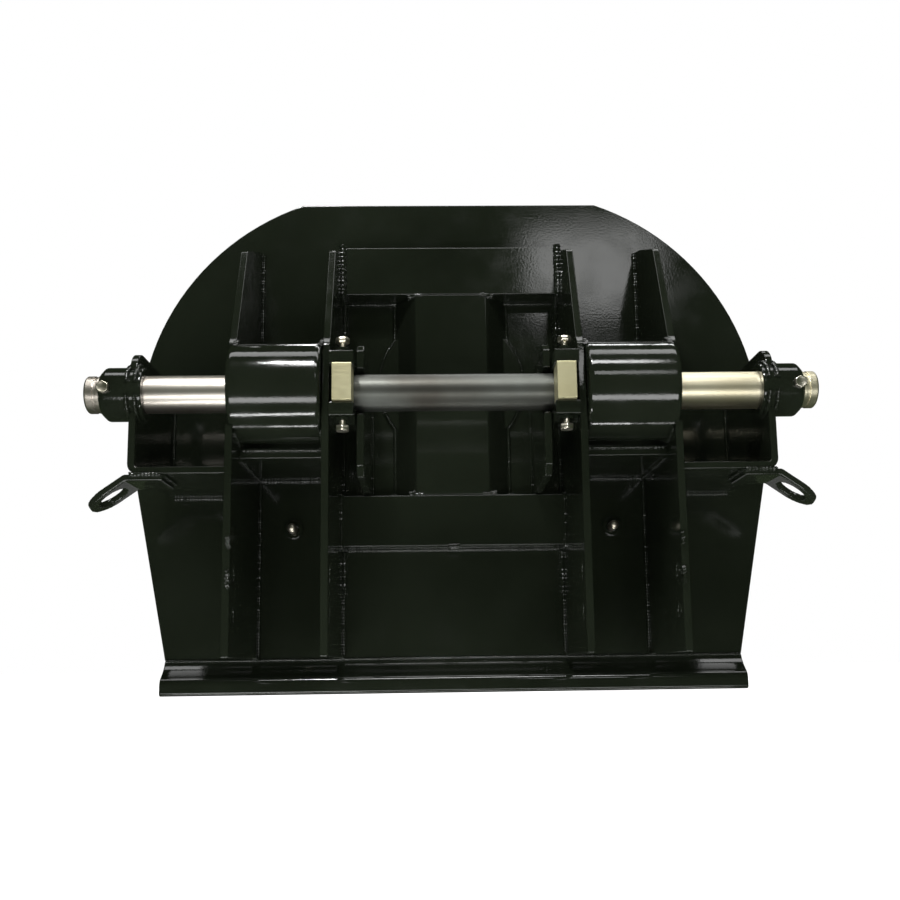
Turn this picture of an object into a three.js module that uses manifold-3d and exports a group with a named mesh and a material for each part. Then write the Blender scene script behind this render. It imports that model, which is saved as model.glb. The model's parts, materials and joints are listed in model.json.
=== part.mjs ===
// Quick coupler hitch plate: a half-moon carrier plate with a welded rib frame, two side pins,
// a turning cross shaft and the blocks that keep it in place. Millimetres, +Z up, front is -Y.
// The origin is on the rear face of the carrier plate, at mid width, level with the shaft axis.
import * as THREE from "three";
import { mergeVertices } from "three/addons/utils/BufferGeometryUtils.js";
import Module from "manifold-3d";

const wasm = await Module();
wasm.setup();

// ---- driving dimensions -------------------------------------------------------------------
const GAP = 0.3; // clearance between touching pieces
const RUNNING = 0.08; // radial clearance of a pin or shaft that moves in its bore
const PLATE_T = 12; // carrier plate thickness
const PLATE_TOP = 355; // top edge above the shaft axis
const PLATE_BOTTOM = -357;
const ARC_R = 373; // shoulder arcs
const ARC_X = 105;
const ARC_Z = 4;
const TAPER_START = -100; // the sides draw in below this
const BOTTOM_HALF = 429; // half width at the lip
const LIP_DROP = 51; // the lip reaches this far below the plate
const LIP_OUT = 30; // and this far forward
const LIP_NOSE_R = 14;
const LIP_T = 12;
const RIB_T = 10;
const INNER_RIB_X = 166; // face towards the middle
const OUTER_RIB_X = 292;
const RIB_DEPTH = 221; // forward of the plate
const RIB_TOP = 274;
const RIB_HOLE_R = 10.5;
const RIB_HOLE_D = 196;
const RIB_HOLES_Z = [-250, -304];
const THROUGH = 200; // length of a drill that goes through both ribs
const SHAFT_D = 177; // shaft axis, forward of the plate
const PIN_R = 25.4; // two-inch pin
const SHAFT_R = 25;
const PIN_END = 495;
const PIN_ROOT = 177.5;
const HOUSING_R = 68;
const HOUSING_IN = 176.6;
const HOUSING_OUT = 299;
const SEAL_OUT = 303;
const BUSH_LENGTH = 46;
const BUSH_R = 33;
const HOUSING_SHELF_Z = [-88, -78]; // under the housing
const HOUSING_SHELF_D = 170;
const BOSS_R = 36.5;
const BOSS_IN = 416;
const BOSS_OUT = 474;
const BOSS_CHAMFER = 7; // at its outer end
const BOSS_BREAK = 1.5; // at its inner end
const SET_X = 464; // set bolt
const SET_R = 5;
const SET_FLATS = 15; // across its head
const SET_HEAD_T = 6.5;
const BRACKET_X = 434; // outer face of the side bracket
const BRACKET_T = 9.5;
const BRACKET_D = 200;
const SHELF_Z = -104; // top face of its shelf
const EAR_TOP = 57;
const EAR_ROUND = 30; // its top front corner
const EAR_NECK = -10; // the round starts above this
const BEND_R = 14; // outside of the bend
const BAR_D = 43; // front of the crossbars and the stem
const BAR_T = 10;
const UPPER_BAR = [191, 266];
const LOWER_BAR = [-195, -119];
const STEM_HALF = 57.5;
const STEM_FOOT = 86;
const DISC_R = 110;
const DISC_Z = 61;
const DISC_T = 6;
const GUSSET_X = 122;
const BLOCK_HALF = 13; // half width of the keeper block
const BLOCK_X = 147.7;
const BLOCK_FRONT = 240;
const SADDLE_X = 133; // inner face of the keeper saddle
const SADDLE_HALF = 44;
const SADDLE_D = [140, 232]; // its depth range
const JACK_D = 221; // depth of the jack bolts
const JACK_R = 4.5;
const JACK_HEAD = 56; // underside of their heads, from the shaft axis
const JACK_FLATS = 16; // across the heads and the jam nuts
const JACK_HEAD_T = 7.5;
const JAM_NUT_T = 5;
const EYE_R = 33.5;
const EYE_HOLE_R = 20.5;
const EYE_T = 9;
const EYE_D = 166; // depth of its middle
const EYE_TAIL = 387; // inner end of its bar
const EYE_BEND = 437;
const EYE_REACH = 31; // from the bend to the hole
const EYE_SLOPE = 35; // degrees below level
const PLATE_BOLT = [241, -163];
const BOLT_R = 7;
const BOLT_REACH = 26; // forward of the plate
const WASHER_R = 15;
const WASHER_T = 5;
const ROUND = 48; // segments of a full circle
const COARSE = 32;
const FINE_PART = 16; // segments of small bolts and their holes

// ---- finishes -----------------------------------------------------------------------------
const BLACK = new THREE.MeshStandardMaterial({ color: 0x0d0f0c, roughness: 0.25, metalness: 0.1 });
const ZINC = new THREE.MeshStandardMaterial({ color: 0xcabf9a, roughness: 0.32, metalness: 1 });
const YELLOW_ZINC = new THREE.MeshStandardMaterial({ color: 0xd0bd84, roughness: 0.35, metalness: 1 });
const DARK_STEEL = new THREE.MeshStandardMaterial({ color: 0x3b3a39, roughness: 0.4, metalness: 0.9 });
const BRONZE = new THREE.MeshStandardMaterial({ color: 0x9a7a42, roughness: 0.4, metalness: 1 });
const RUBBER = new THREE.MeshStandardMaterial({ color: 0x171717, roughness: 0.8, metalness: 0 });

const coupler = new THREE.Group();
coupler.name = "quick_coupler";

// ---- solids -------------------------------------------------------------------------------
// A closed geometry as a manifold solid, facing out.
function solid(geometry) {
  const bare = new THREE.BufferGeometry();
  bare.setAttribute("position", geometry.getAttribute("position"));
  if (geometry.index) bare.setIndex(geometry.index);
  const merged = mergeVertices(bare, 1e-4);
  const kept = [];
  const index = merged.index.array;
  for (let i = 0; i < index.length; i += 3) {
    const [a, b, c] = [index[i], index[i + 1], index[i + 2]];
    if (a !== b && b !== c && c !== a) kept.push(a, b, c);
  }
  const build = (list) =>
    new wasm.Manifold(
      new wasm.Mesh({
        numProp: 3,
        vertProperties: new Float32Array(merged.attributes.position.array),
        triVerts: new Uint32Array(list),
      }),
    );
  const made = build(kept);
  if (made.volume() > 0) return made;
  const turned = [];
  for (let i = 0; i < kept.length; i += 3) turned.push(kept[i], kept[i + 2], kept[i + 1]);
  return build(turned);
}

function geometryOf(made) {
  const mesh = made.getMesh();
  const geometry = new THREE.BufferGeometry();
  geometry.setAttribute("position", new THREE.BufferAttribute(new Float32Array(mesh.vertProperties), 3));
  geometry.setIndex(new THREE.BufferAttribute(new Uint32Array(mesh.triVerts), 1));
  geometry.computeVertexNormals();
  return geometry;
}

function add(name, made, material) {
  const mesh = new THREE.Mesh(geometryOf(made), material);
  mesh.name = name;
  coupler.add(mesh);
}

// y of a depth measured forward of the plate's front face.
const yOf = (depth) => -(PLATE_T + depth);

function shapeOf(points) {
  return new THREE.Shape(points.map(([u, v]) => new THREE.Vector2(u, v)));
}

// An outline of (x, z) points, solid between two depths.
function slab(outline, depthFrom, depthTo) {
  const shape = outline.isShape ? outline : shapeOf(outline);
  const g = new THREE.ExtrudeGeometry(shape, {
    depth: depthTo - depthFrom,
    bevelEnabled: false,
    curveSegments: 20,
  });
  const basis = new THREE.Matrix4().makeBasis(
    new THREE.Vector3(1, 0, 0),
    new THREE.Vector3(0, 0, 1),
    new THREE.Vector3(0, -1, 0),
  );
  g.applyMatrix4(basis);
  g.translate(0, yOf(depthFrom), 0);
  return solid(g);
}

// An outline of (depth, z) points, solid between two x.
function sheet(outline, xFrom, xTo) {
  const low = Math.min(xFrom, xTo);
  const high = Math.max(xFrom, xTo);
  const flat = outline.map(([depth, z]) => [yOf(depth), z]);
  const g = new THREE.ExtrudeGeometry(shapeOf(flat), {
    depth: high - low,
    bevelEnabled: false,
  });
  const basis = new THREE.Matrix4().makeBasis(
    new THREE.Vector3(0, 1, 0),
    new THREE.Vector3(0, 0, 1),
    new THREE.Vector3(1, 0, 0),
  );
  g.applyMatrix4(basis);
  g.translate(low, 0, 0);
  return solid(g);
}

// A turned piece: a (radius, along) profile spun about a line through (x, depth, z).
function turned(profile, direction, at, segments = ROUND) {
  const g = new THREE.LatheGeometry(profile.map(([r, h]) => new THREE.Vector2(r, h)), segments);
  const up = new THREE.Vector3(0, 1, 0);
  const turn = new THREE.Quaternion().setFromUnitVectors(up, new THREE.Vector3(...direction));
  g.applyQuaternion(turn);
  g.translate(at[0], yOf(at[1]), at[2]);
  return solid(g);
}

// A round bar with small chamfers.
function bar(radius, length, chamfer, direction, at, segments = ROUND) {
  const profile = [
    [0, 0],
    [radius - chamfer, 0],
    [radius, chamfer],
    [radius, length - chamfer],
    [radius - chamfer, length],
    [0, length],
  ];
  return turned(profile, direction, at, segments);
}

// A tube with small chamfers outside.
function tube(outer, inner, length, chamfer, direction, at, segments = ROUND) {
  const profile = [
    [inner, 0],
    [outer - chamfer, 0],
    [outer, chamfer],
    [outer, length - chamfer],
    [outer - chamfer, length],
    [inner, length],
    [inner, 0],
  ];
  return turned(profile, direction, at, segments);
}

// Points of an arc, from one angle to another in degrees.
function arc(cu, cv, radius, from, to, steps) {
  const points = [];
  for (let i = 0; i <= steps; i++) {
    const a = THREE.MathUtils.degToRad(from + ((to - from) * i) / steps);
    points.push([cu + radius * Math.cos(a), cv + radius * Math.sin(a)]);
  }
  return points;
}

// A hexagonal prism on a line.
function hexagon(acrossFlats, length, direction, at) {
  return bar(acrossFlats / Math.sqrt(3), length, 0.6, direction, at, 6);
}

// ---- carrier plate ------------------------------------------------------------------------
function plateOutline() {
  const corner = THREE.MathUtils.radToDeg(Math.asin((PLATE_TOP - ARC_Z) / ARC_R));
  const right = arc(ARC_X, ARC_Z, ARC_R, 0, corner, 24);
  const left = right.map(([x, z]) => [-x, z]).reverse();
  const low = [
    [-ARC_X - ARC_R, TAPER_START],
    [-BOTTOM_HALF, PLATE_BOTTOM],
    [BOTTOM_HALF, PLATE_BOTTOM],
    [ARC_X + ARC_R, TAPER_START],
  ];
  return [...right, ...left, ...low];
}

function carrierPlate() {
  let made = slab(plateOutline(), -PLATE_T, 0);
  for (const side of [-1, 1]) {
    const at = [side * PLATE_BOLT[0], -PLATE_T - 2, PLATE_BOLT[1]];
    made = made.subtract(bar(BOLT_R + GAP, PLATE_T + 4, 0, [0, -1, 0], at, FINE_PART));
  }
  add("carrier_plate", made, BLACK);
}

// The lip is a formed bar that kicks forward below the plate and turns down.
function bottomLip() {
  const top = PLATE_BOTTOM - GAP;
  const foot = PLATE_BOTTOM - LIP_DROP;
  const noseZ = top - 36;
  const inner = LIP_NOSE_R - LIP_T + 6;
  const outline = [
    [-PLATE_T, top],
    [0, top],
    [4, top - 7],
    [11, top - 15],
    ...arc(LIP_OUT - LIP_NOSE_R, noseZ, LIP_NOSE_R, 62, 0, 6),
    [LIP_OUT, foot + 3],
    [LIP_OUT - 3, foot],
    [LIP_OUT - LIP_T, foot],
    ...arc(LIP_OUT - LIP_T - inner, noseZ - 4, inner, 0, 62, 4),
    [0, top - 20],
    [-PLATE_T, top - 12],
  ];
  add("bottom_lip", sheet(outline, -BOTTOM_HALF, BOTTOM_HALF), BLACK);
}

// ---- rib frame ----------------------------------------------------------------------------
function ribOutline() {
  return [
    [GAP, PLATE_BOTTOM + 1],
    [RIB_DEPTH, PLATE_BOTTOM + 1],
    [RIB_DEPTH, -40],
    [RIB_DEPTH - 12, 60],
    [197, 74],
    [133, 221],
    [128, 226],
    [40, 262],
    [GAP, RIB_TOP],
  ];
}

function ribs(side, word) {
  const inner = sheet(ribOutline(), side * INNER_RIB_X, side * (INNER_RIB_X + RIB_T));
  const outer = sheet(ribOutline(), side * OUTER_RIB_X, side * (OUTER_RIB_X + RIB_T));
  const eye = bar(HOUSING_R + GAP, 40, 0, [1, 0, 0], [side * (OUTER_RIB_X + 5) - 20, SHAFT_D, 0]);
  let [a, b] = [inner, outer.subtract(eye)];
  const from = (side * (INNER_RIB_X + OUTER_RIB_X + RIB_T) - THROUGH) / 2;
  for (const z of RIB_HOLES_Z) {
    const drill = bar(RIB_HOLE_R, THROUGH, 0, [1, 0, 0], [from, RIB_HOLE_D, z], COARSE);
    a = a.subtract(drill);
    b = b.subtract(drill);
  }
  add(`${word}_inner_rib`, a, BLACK);
  add(`${word}_outer_rib`, b, BLACK);
}

// A crossbar is a flat-fronted channel between the inner ribs, open to the plate.
function crossbar(name, [low, high]) {
  const front = slab(rectangle(-INNER_RIB_X + GAP, INNER_RIB_X - GAP, low, high), GAP, BAR_D);
  const inside = slab(
    rectangle(-INNER_RIB_X - 5, INNER_RIB_X + 5, low + BAR_T, high - BAR_T),
    -5,
    BAR_D - BAR_T,
  );
  add(name, front.subtract(inside), BLACK);
}

function rectangle(left, right, low, high) {
  return [
    [left, low],
    [right, low],
    [right, high],
    [left, high],
  ];
}

// The stem is a hat section: a flat front with two flared sides.
function stem() {
  const profile = [
    [-STEM_FOOT, GAP],
    [-STEM_HALF, BAR_D - 4],
    [-STEM_HALF + 4, BAR_D],
    [STEM_HALF - 4, BAR_D],
    [STEM_HALF, BAR_D - 4],
    [STEM_FOOT, GAP],
    [STEM_FOOT - 13, GAP],
    [STEM_HALF - 8, BAR_D - BAR_T],
    [-STEM_HALF + 8, BAR_D - BAR_T],
    [-STEM_FOOT + 13, GAP],
  ];
  const low = LOWER_BAR[1] + GAP;
  const high = UPPER_BAR[0] - GAP;
  const g = new THREE.ExtrudeGeometry(shapeOf(profile.map(([x, d]) => [x, -d])), {
    depth: high - low,
    bevelEnabled: false,
  });
  g.translate(0, -PLATE_T, low);
  const disc = bar(DISC_R + GAP, DISC_T + GAP + 2, 0, [0, -1, 0], [0, -2, DISC_Z]);
  add("stem", solid(g).subtract(disc), BLACK);
}

function centreDisc() {
  const made = bar(DISC_R, DISC_T - GAP, 0.8, [0, -1, 0], [0, GAP, DISC_Z]);
  add("centre_disc", made, BLACK);
}

// ---- pin housings -------------------------------------------------------------------------
function along(side, from) {
  return [side * from, SHAFT_D, 0];
}

function housing(side, word) {
  const out = [side, 0, 0];
  const length = HOUSING_OUT - HOUSING_IN;
  const shell = tube(HOUSING_R, BUSH_R + GAP, length, 4, out, along(side, HOUSING_IN));
  add(`${word}_pin_housing`, shell, BLACK);
  const places = [
    ["inner", HOUSING_IN + 4],
    ["outer", HOUSING_OUT - 4 - BUSH_LENGTH],
  ];
  for (const [place, from] of places) {
    const bush = tube(BUSH_R, PIN_R + RUNNING, BUSH_LENGTH, 0, out, along(side, from));
    add(`${word}_${place}_bushing`, bush, BRONZE);
  }
  const sealIn = HOUSING_OUT - 4 + GAP;
  const seal = tube(BUSH_R, PIN_R + GAP, SEAL_OUT - sealIn, 1, out, along(side, sealIn), COARSE);
  add(`${word}_pin_seal`, seal, RUBBER);
}

// A flat gusset that carries the housing between the two ribs.
function housingShelf(side, word) {
  const [under, top] = HOUSING_SHELF_Z;
  const outline = [
    [GAP, top],
    [GAP, under],
    [HOUSING_SHELF_D, under],
    [HOUSING_SHELF_D, top],
  ];
  const from = INNER_RIB_X + RIB_T + GAP;
  const made = sheet(outline, side * from, side * (OUTER_RIB_X - GAP));
  add(`${word}_housing_shelf`, made, BLACK);
}

// ---- side brackets ------------------------------------------------------------------------
// One plate bent at the outer lower corner: an upright ear that holds the boss, and a shelf.
function sideBracket(side, word) {
  const outerX = BRACKET_X;
  const innerX = OUTER_RIB_X + RIB_T + GAP;
  const low = SHELF_Z - BRACKET_T;
  const bend = arc(outerX - BEND_R, low + BEND_R, BEND_R, -90, 0, 6);
  const crook = arc(outerX - BEND_R, low + BEND_R, BEND_R - BRACKET_T, 0, -90, 4);
  const outline = [
    [innerX, low],
    ...bend,
    [outerX, EAR_TOP],
    [outerX - BRACKET_T, EAR_TOP],
    ...crook,
    [innerX, SHELF_Z],
  ].map(([x, z]) => [side * x, z]);
  const outer = side * (outerX + 5);
  const made = slab(outline, GAP, BRACKET_D).intersect(sheet(earProfile(), side * innerX, outer));
  const bore = bar(BOSS_R + GAP, 60, 0, [1, 0, 0], [side * (outerX - 5) - 30, SHAFT_D, 0]);
  add(`${word}_side_bracket`, made.subtract(bore), BLACK);
}

// What the bracket shows from the side, with the ear's front corner well rounded.
function earProfile() {
  const cornerD = BRACKET_D - EAR_ROUND;
  return [
    [0, SHELF_Z - BRACKET_T - 5],
    [BRACKET_D, SHELF_Z - BRACKET_T - 5],
    [BRACKET_D, EAR_NECK],
    ...arc(cornerD, EAR_TOP - EAR_ROUND, EAR_ROUND, 0, 90, 8),
    [0, EAR_TOP],
  ];
}

// The boss is a thick ring with a wide chamfer at its outer end and a set bolt in front.
function pinBoss(side, word) {
  const out = [side, 0, 0];
  const length = BOSS_OUT - BOSS_IN;
  const bore = PIN_R + RUNNING;
  const profile = [
    [bore, 0],
    [BOSS_R - BOSS_BREAK, 0],
    [BOSS_R, BOSS_BREAK],
    [BOSS_R, length - BOSS_CHAMFER],
    [BOSS_R - BOSS_CHAMFER, length],
    [bore, length],
    [bore, 0],
  ];
  const tapped = bar(SET_R + GAP, 30, 0, [0, -1, 0], [side * SET_X, SHAFT_D + PIN_R - 6, 0], FINE_PART);
  add(`${word}_pin_boss`, turned(profile, out, along(side, BOSS_IN)).subtract(tapped), BLACK);
  const tip = SHAFT_D + PIN_R + GAP;
  const shank = bar(SET_R, BOSS_R - PIN_R + 4, 0.6, [0, -1, 0], [side * SET_X, tip, 0], FINE_PART);
  const headAt = [side * SET_X, SHAFT_D + BOSS_R + BOSS_BREAK, 0];
  const head = hexagon(SET_FLATS, SET_HEAD_T, [0, -1, 0], headAt);
  add(`${word}_set_bolt`, shank.add(head), YELLOW_ZINC);
}

// The tie-down eye: a flat bar welded under the shelf and bent down past the ear, where it ends
// in a half round with a large hole.
function tieEye(side, word) {
  const middle = SHELF_Z - BRACKET_T - GAP - EYE_T / 2;
  const low = middle - EYE_T / 2;
  const tail = slab(rectangle(EYE_TAIL, EYE_BEND, low, low + EYE_T), EYE_D - EYE_R, EYE_D + EYE_R);
  const knuckleAt = [EYE_BEND, EYE_D - EYE_R, middle];
  const knuckle = bar(EYE_T / 2, 2 * EYE_R, 0, [0, -1, 0], knuckleAt, FINE_PART);
  const blade = shapeOf([[0, -EYE_R], ...arc(EYE_REACH, 0, EYE_R, -90, 90, 16), [0, EYE_R]]);
  const hole = new THREE.Path();
  hole.absarc(EYE_REACH, 0, EYE_HOLE_R, 0, 2 * Math.PI, true);
  blade.holes.push(hole);
  const g = new THREE.ExtrudeGeometry(blade, { depth: EYE_T, bevelEnabled: false, curveSegments: 14 });
  g.translate(0, 0, -EYE_T / 2);
  g.rotateY(THREE.MathUtils.degToRad(EYE_SLOPE));
  g.translate(EYE_BEND, yOf(EYE_D), middle);
  const right = tail.add(knuckle).add(solid(g));
  add(`${word}_tie_eye`, side > 0 ? right : right.mirror([1, 0, 0]), BLACK);
}

// ---- cross shaft and its keepers ----------------------------------------------------------
// A thick block welded to the rib, slotted from the front so that the shaft end drops in.
function saddle(side, word) {
  const outX = INNER_RIB_X - GAP;
  const half = PIN_R + GAP;
  const slotBack = SHAFT_D - PIN_R - 1;
  const front = SADDLE_D[1];
  const outline = [
    [SADDLE_D[0], -SADDLE_HALF],
    [front, -SADDLE_HALF],
    [front, -half],
    [slotBack, -half],
    [slotBack, half],
    [front, half],
    [front, SADDLE_HALF],
    [SADDLE_D[0], SADDLE_HALF],
  ];
  let made = sheet(outline, side * SADDLE_X, side * outX);
  for (const up of [-1, 1]) {
    const at = [side * BLOCK_X, JACK_D, up * 10];
    made = made.subtract(bar(JACK_R + GAP, 60, 0, [0, 0, up], at, FINE_PART));
  }
  add(`${word}_keeper_saddle`, made, BLACK);
}

// Jack bolts come down and up through the saddle to the edges of the keeper block.
function jackBolts(side, word) {
  for (const up of [-1, 1]) {
    const place = up > 0 ? "upper" : "lower";
    const axis = [0, 0, up];
    const at = (z) => [side * BLOCK_X, JACK_D, up * z];
    const shank = bar(JACK_R, JACK_HEAD - PIN_R + 2, 0.6, axis, at(PIN_R + GAP), FINE_PART);
    const head = hexagon(JACK_FLATS, JACK_HEAD_T, axis, at(JACK_HEAD));
    add(`${word}_${place}_jack_bolt`, shank.add(head), YELLOW_ZINC);
    const nut = hexagon(JACK_FLATS, JAM_NUT_T, axis, at(SADDLE_HALF + GAP));
    const hole = bar(JACK_R + GAP, 20, 0, axis, at(SADDLE_HALF - 5), FINE_PART);
    add(`${word}_${place}_jam_nut`, nut.subtract(hole), BLACK);
  }
}

// The keeper block closes the open side of the saddle, in front of the shaft end.
function keeperBlock(side, word) {
  const back = SHAFT_D + PIN_R + GAP;
  const half = PIN_R;
  const outline = [
    [back, -half],
    [BLOCK_FRONT - 1, -half],
    [BLOCK_FRONT, -half + 1],
    [BLOCK_FRONT, half - 1],
    [BLOCK_FRONT - 1, half],
    [back, half],
  ];
  const made = sheet(outline, side * (BLOCK_X - BLOCK_HALF), side * (BLOCK_X + BLOCK_HALF));
  add(`${word}_keeper_block`, made, YELLOW_ZINC);
}

// An upright gusset behind the shaft, hollowed to pass it.
function innerGusset(side, word) {
  const outline = [
    [GAP, LOWER_BAR[1] + 2],
    [176, LOWER_BAR[1] + 2],
    [190, LOWER_BAR[1] + 16],
    [190, 56],
    [180, 66],
    [GAP, 66],
  ];
  const notch = bar(PIN_R + 6, 40, 0, [1, 0, 0], [side * (GUSSET_X + 5) - 20, SHAFT_D, 0]);
  const mouth = sheet(
    [
      [SHAFT_D, -PIN_R - 6],
      [SHAFT_D + 60, -PIN_R - 6],
      [SHAFT_D + 60, PIN_R + 6],
      [SHAFT_D, PIN_R + 6],
    ],
    side * (GUSSET_X - 5),
    side * (GUSSET_X + 20),
  );
  const made = sheet(outline, side * GUSSET_X, side * (GUSSET_X + RIB_T)).subtract(notch).subtract(mouth);
  const ring = bar(DISC_R + GAP, DISC_T + GAP + 2, 0, [0, -1, 0], [0, -2, DISC_Z]);
  add(`${word}_inner_gusset`, made.subtract(ring), BLACK);
}

function crossShaft() {
  const half = INNER_RIB_X - 1.3;
  const made = bar(SHAFT_R, 2 * half, 2, [1, 0, 0], [-half, SHAFT_D, 0]);
  add("cross_shaft", made, DARK_STEEL);
}

// ---- side pins ----------------------------------------------------------------------------
function sidePin(side, word) {
  const length = PIN_END - PIN_ROOT;
  const groove = length - 16;
  const profile = [
    [0, 0],
    [PIN_R - 3, 0],
    [PIN_R, 3],
    [PIN_R, groove - 4],
    [PIN_R - 2, groove - 3],
    [PIN_R - 2, groove + 1],
    [PIN_R, groove + 2],
    [PIN_R, length - 2],
    [PIN_R - 2, length],
    [0, length],
  ];
  add(`${word}_side_pin`, turned(profile, [side, 0, 0], along(side, PIN_ROOT)), ZINC);
}

// ---- plate bolts --------------------------------------------------------------------------
function plateBolt(side, word) {
  const [x, z] = [side * PLATE_BOLT[0], PLATE_BOLT[1]];
  const front = [0, -1, 0];
  const stud = bar(BOLT_R, PLATE_T + BOLT_REACH, 1.5, front, [x, -PLATE_T, z], FINE_PART);
  add(`${word}_plate_bolt`, stud, ZINC);
  const washer = tube(WASHER_R, BOLT_R + GAP, WASHER_T, 1, front, [x, GAP, z], COARSE);
  add(`${word}_bolt_washer`, washer, BLACK);
}

// ---- assembly -----------------------------------------------------------------------------
carrierPlate();
bottomLip();
crossbar("upper_crossbar", UPPER_BAR);
crossbar("lower_crossbar", LOWER_BAR);
stem();
centreDisc();
crossShaft();
for (const [side, word] of [
  [-1, "left"],
  [1, "right"],
]) {
  ribs(side, word);
  housing(side, word);
  housingShelf(side, word);
  sideBracket(side, word);
  pinBoss(side, word);
  tieEye(side, word);
  saddle(side, word);
  jackBolts(side, word);
  keeperBlock(side, word);
  innerGusset(side, word);
  sidePin(side, word);
  plateBolt(side, word);
}

export default coupler;
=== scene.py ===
# %% [markdown]
# # A quick coupler in gloss black paint
# The coupler is a heavy hitch plate. A half-moon carrier plate holds a frame of welded ribs, and
# the ribs hold two plated side pins and a dark cross shaft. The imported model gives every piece
# its place, and this lesson gives the pieces their finished surfaces: rounded plate edges,
# turned steel, threads, weld beads, paint and plating.

# %% Load the frame
import json
import math

import bmesh
import bpy
from mathutils import Matrix, Vector

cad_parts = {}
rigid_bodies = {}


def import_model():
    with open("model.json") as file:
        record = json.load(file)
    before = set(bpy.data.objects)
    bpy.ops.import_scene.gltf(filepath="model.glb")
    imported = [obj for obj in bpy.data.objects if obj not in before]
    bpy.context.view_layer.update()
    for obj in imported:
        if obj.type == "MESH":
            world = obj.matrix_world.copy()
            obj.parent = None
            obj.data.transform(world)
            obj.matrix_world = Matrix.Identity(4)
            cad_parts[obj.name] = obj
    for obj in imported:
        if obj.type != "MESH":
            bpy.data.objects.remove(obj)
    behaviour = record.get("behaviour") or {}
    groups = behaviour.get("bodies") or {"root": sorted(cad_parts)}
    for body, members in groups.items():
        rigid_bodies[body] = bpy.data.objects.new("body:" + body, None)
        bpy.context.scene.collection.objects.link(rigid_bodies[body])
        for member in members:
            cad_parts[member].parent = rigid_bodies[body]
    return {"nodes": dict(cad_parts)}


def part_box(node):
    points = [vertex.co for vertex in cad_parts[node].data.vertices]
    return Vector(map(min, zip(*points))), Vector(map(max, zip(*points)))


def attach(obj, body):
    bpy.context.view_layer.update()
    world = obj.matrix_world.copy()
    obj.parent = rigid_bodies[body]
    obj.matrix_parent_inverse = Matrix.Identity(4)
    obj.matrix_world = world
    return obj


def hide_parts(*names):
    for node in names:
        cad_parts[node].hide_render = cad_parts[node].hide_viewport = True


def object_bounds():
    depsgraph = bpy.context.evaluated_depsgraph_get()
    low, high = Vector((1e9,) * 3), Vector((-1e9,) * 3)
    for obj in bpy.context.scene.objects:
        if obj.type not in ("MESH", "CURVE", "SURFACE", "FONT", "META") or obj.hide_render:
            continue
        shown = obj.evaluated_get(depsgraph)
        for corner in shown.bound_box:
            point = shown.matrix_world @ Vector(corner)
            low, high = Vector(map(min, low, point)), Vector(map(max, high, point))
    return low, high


for default_object in list(bpy.data.objects):
    bpy.data.objects.remove(default_object)

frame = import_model()
CAD_LOW, CAD_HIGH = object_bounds()
MM = 0.001
SIDES = ((-1, "left"), (1, "right"))
print("nodes:", len(frame["nodes"]), "box:", tuple(CAD_LOW), tuple(CAD_HIGH))

# %% [markdown]
# ## Measures from the frame
# The shaft axis is the centre line of the housings, and the front of the carrier plate is the
# face that everything is welded to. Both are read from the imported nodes, so the finished pieces
# can't drift away from the frame.

# %% Shaft axis and plate front
housing_low, housing_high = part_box("left_pin_housing")
AXIS_Y = (housing_low.y + housing_high.y) / 2
AXIS_Z = (housing_low.z + housing_high.z) / 2
PLATE_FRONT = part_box("carrier_plate")[0].y
print("shaft axis:", round(AXIS_Y, 4), round(AXIS_Z, 4), "plate front:", round(PLATE_FRONT, 4))


def at(x, depth, z):
    """A point from millimetres: sideways, forward of the plate's front, and up."""
    return Vector((x * MM, PLATE_FRONT - depth * MM, z * MM))


# %% [markdown]
# ## Node helpers for the finishes
# Every finish is made of the same few parts: noise on the object's own coordinates, a range or a
# colour ramp to shape it, and a bump. Short helpers keep each finish down to the few lines that
# make it different.

# %% Shader helpers
def new_finish(name):
    """A material, its tree, its shader and its object coordinates."""
    material = bpy.data.materials.new(name)
    material.use_nodes = True
    tree = material.node_tree
    place = tree.nodes.new("ShaderNodeTexCoord")
    return material, tree, tree.nodes["Principled BSDF"], place.outputs["Object"]


def grain(tree, place, scale, stretch=(1, 1, 1), detail=4.0):
    """Noise with its own stretch along the three axes."""
    mapping = tree.nodes.new("ShaderNodeMapping")
    mapping.inputs["Scale"].default_value = stretch
    noise = tree.nodes.new("ShaderNodeTexNoise")
    noise.inputs["Scale"].default_value = scale
    noise.inputs["Detail"].default_value = detail
    tree.links.new(place, mapping.inputs["Vector"])
    tree.links.new(mapping.outputs["Vector"], noise.inputs["Vector"])
    return noise.outputs["Fac"]


def spread(tree, value, low, high, start=0.3, end=0.7):
    """The value's middle range, stretched to run from low to high."""
    node = tree.nodes.new("ShaderNodeMapRange")
    for socket, number in (("From Min", start), ("From Max", end), ("To Min", low), ("To Max", high)):
        node.inputs[socket].default_value = number
    tree.links.new(value, node.inputs["Value"])
    return node.outputs["Result"]


def tint(tree, value, stops):
    """A colour ramp with (position, colour) stops."""
    node = tree.nodes.new("ShaderNodeValToRGB")
    ramp = node.color_ramp
    while len(ramp.elements) < len(stops):
        ramp.elements.new(0.5)
    for element, (position, colour) in zip(ramp.elements, stops):
        element.position = position
        element.color = (*colour, 1)
    tree.links.new(value, node.inputs["Fac"])
    return node.outputs["Color"]


def blend_colours(tree, factor, first, second):
    """The first colour socket, giving way to a plain colour where the factor is 1."""
    node = tree.nodes.new("ShaderNodeMix")
    node.data_type = "RGBA"
    tree.links.new(factor, node.inputs["Factor"])
    tree.links.new(first, node.inputs[6])
    node.inputs[7].default_value = (*second, 1)
    return node.outputs[2]


def product(tree, first, second):
    node = tree.nodes.new("ShaderNodeMath")
    node.operation = "MULTIPLY"
    tree.links.new(first, node.inputs[0])
    tree.links.new(second, node.inputs[1])
    return node.outputs["Value"]


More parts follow.
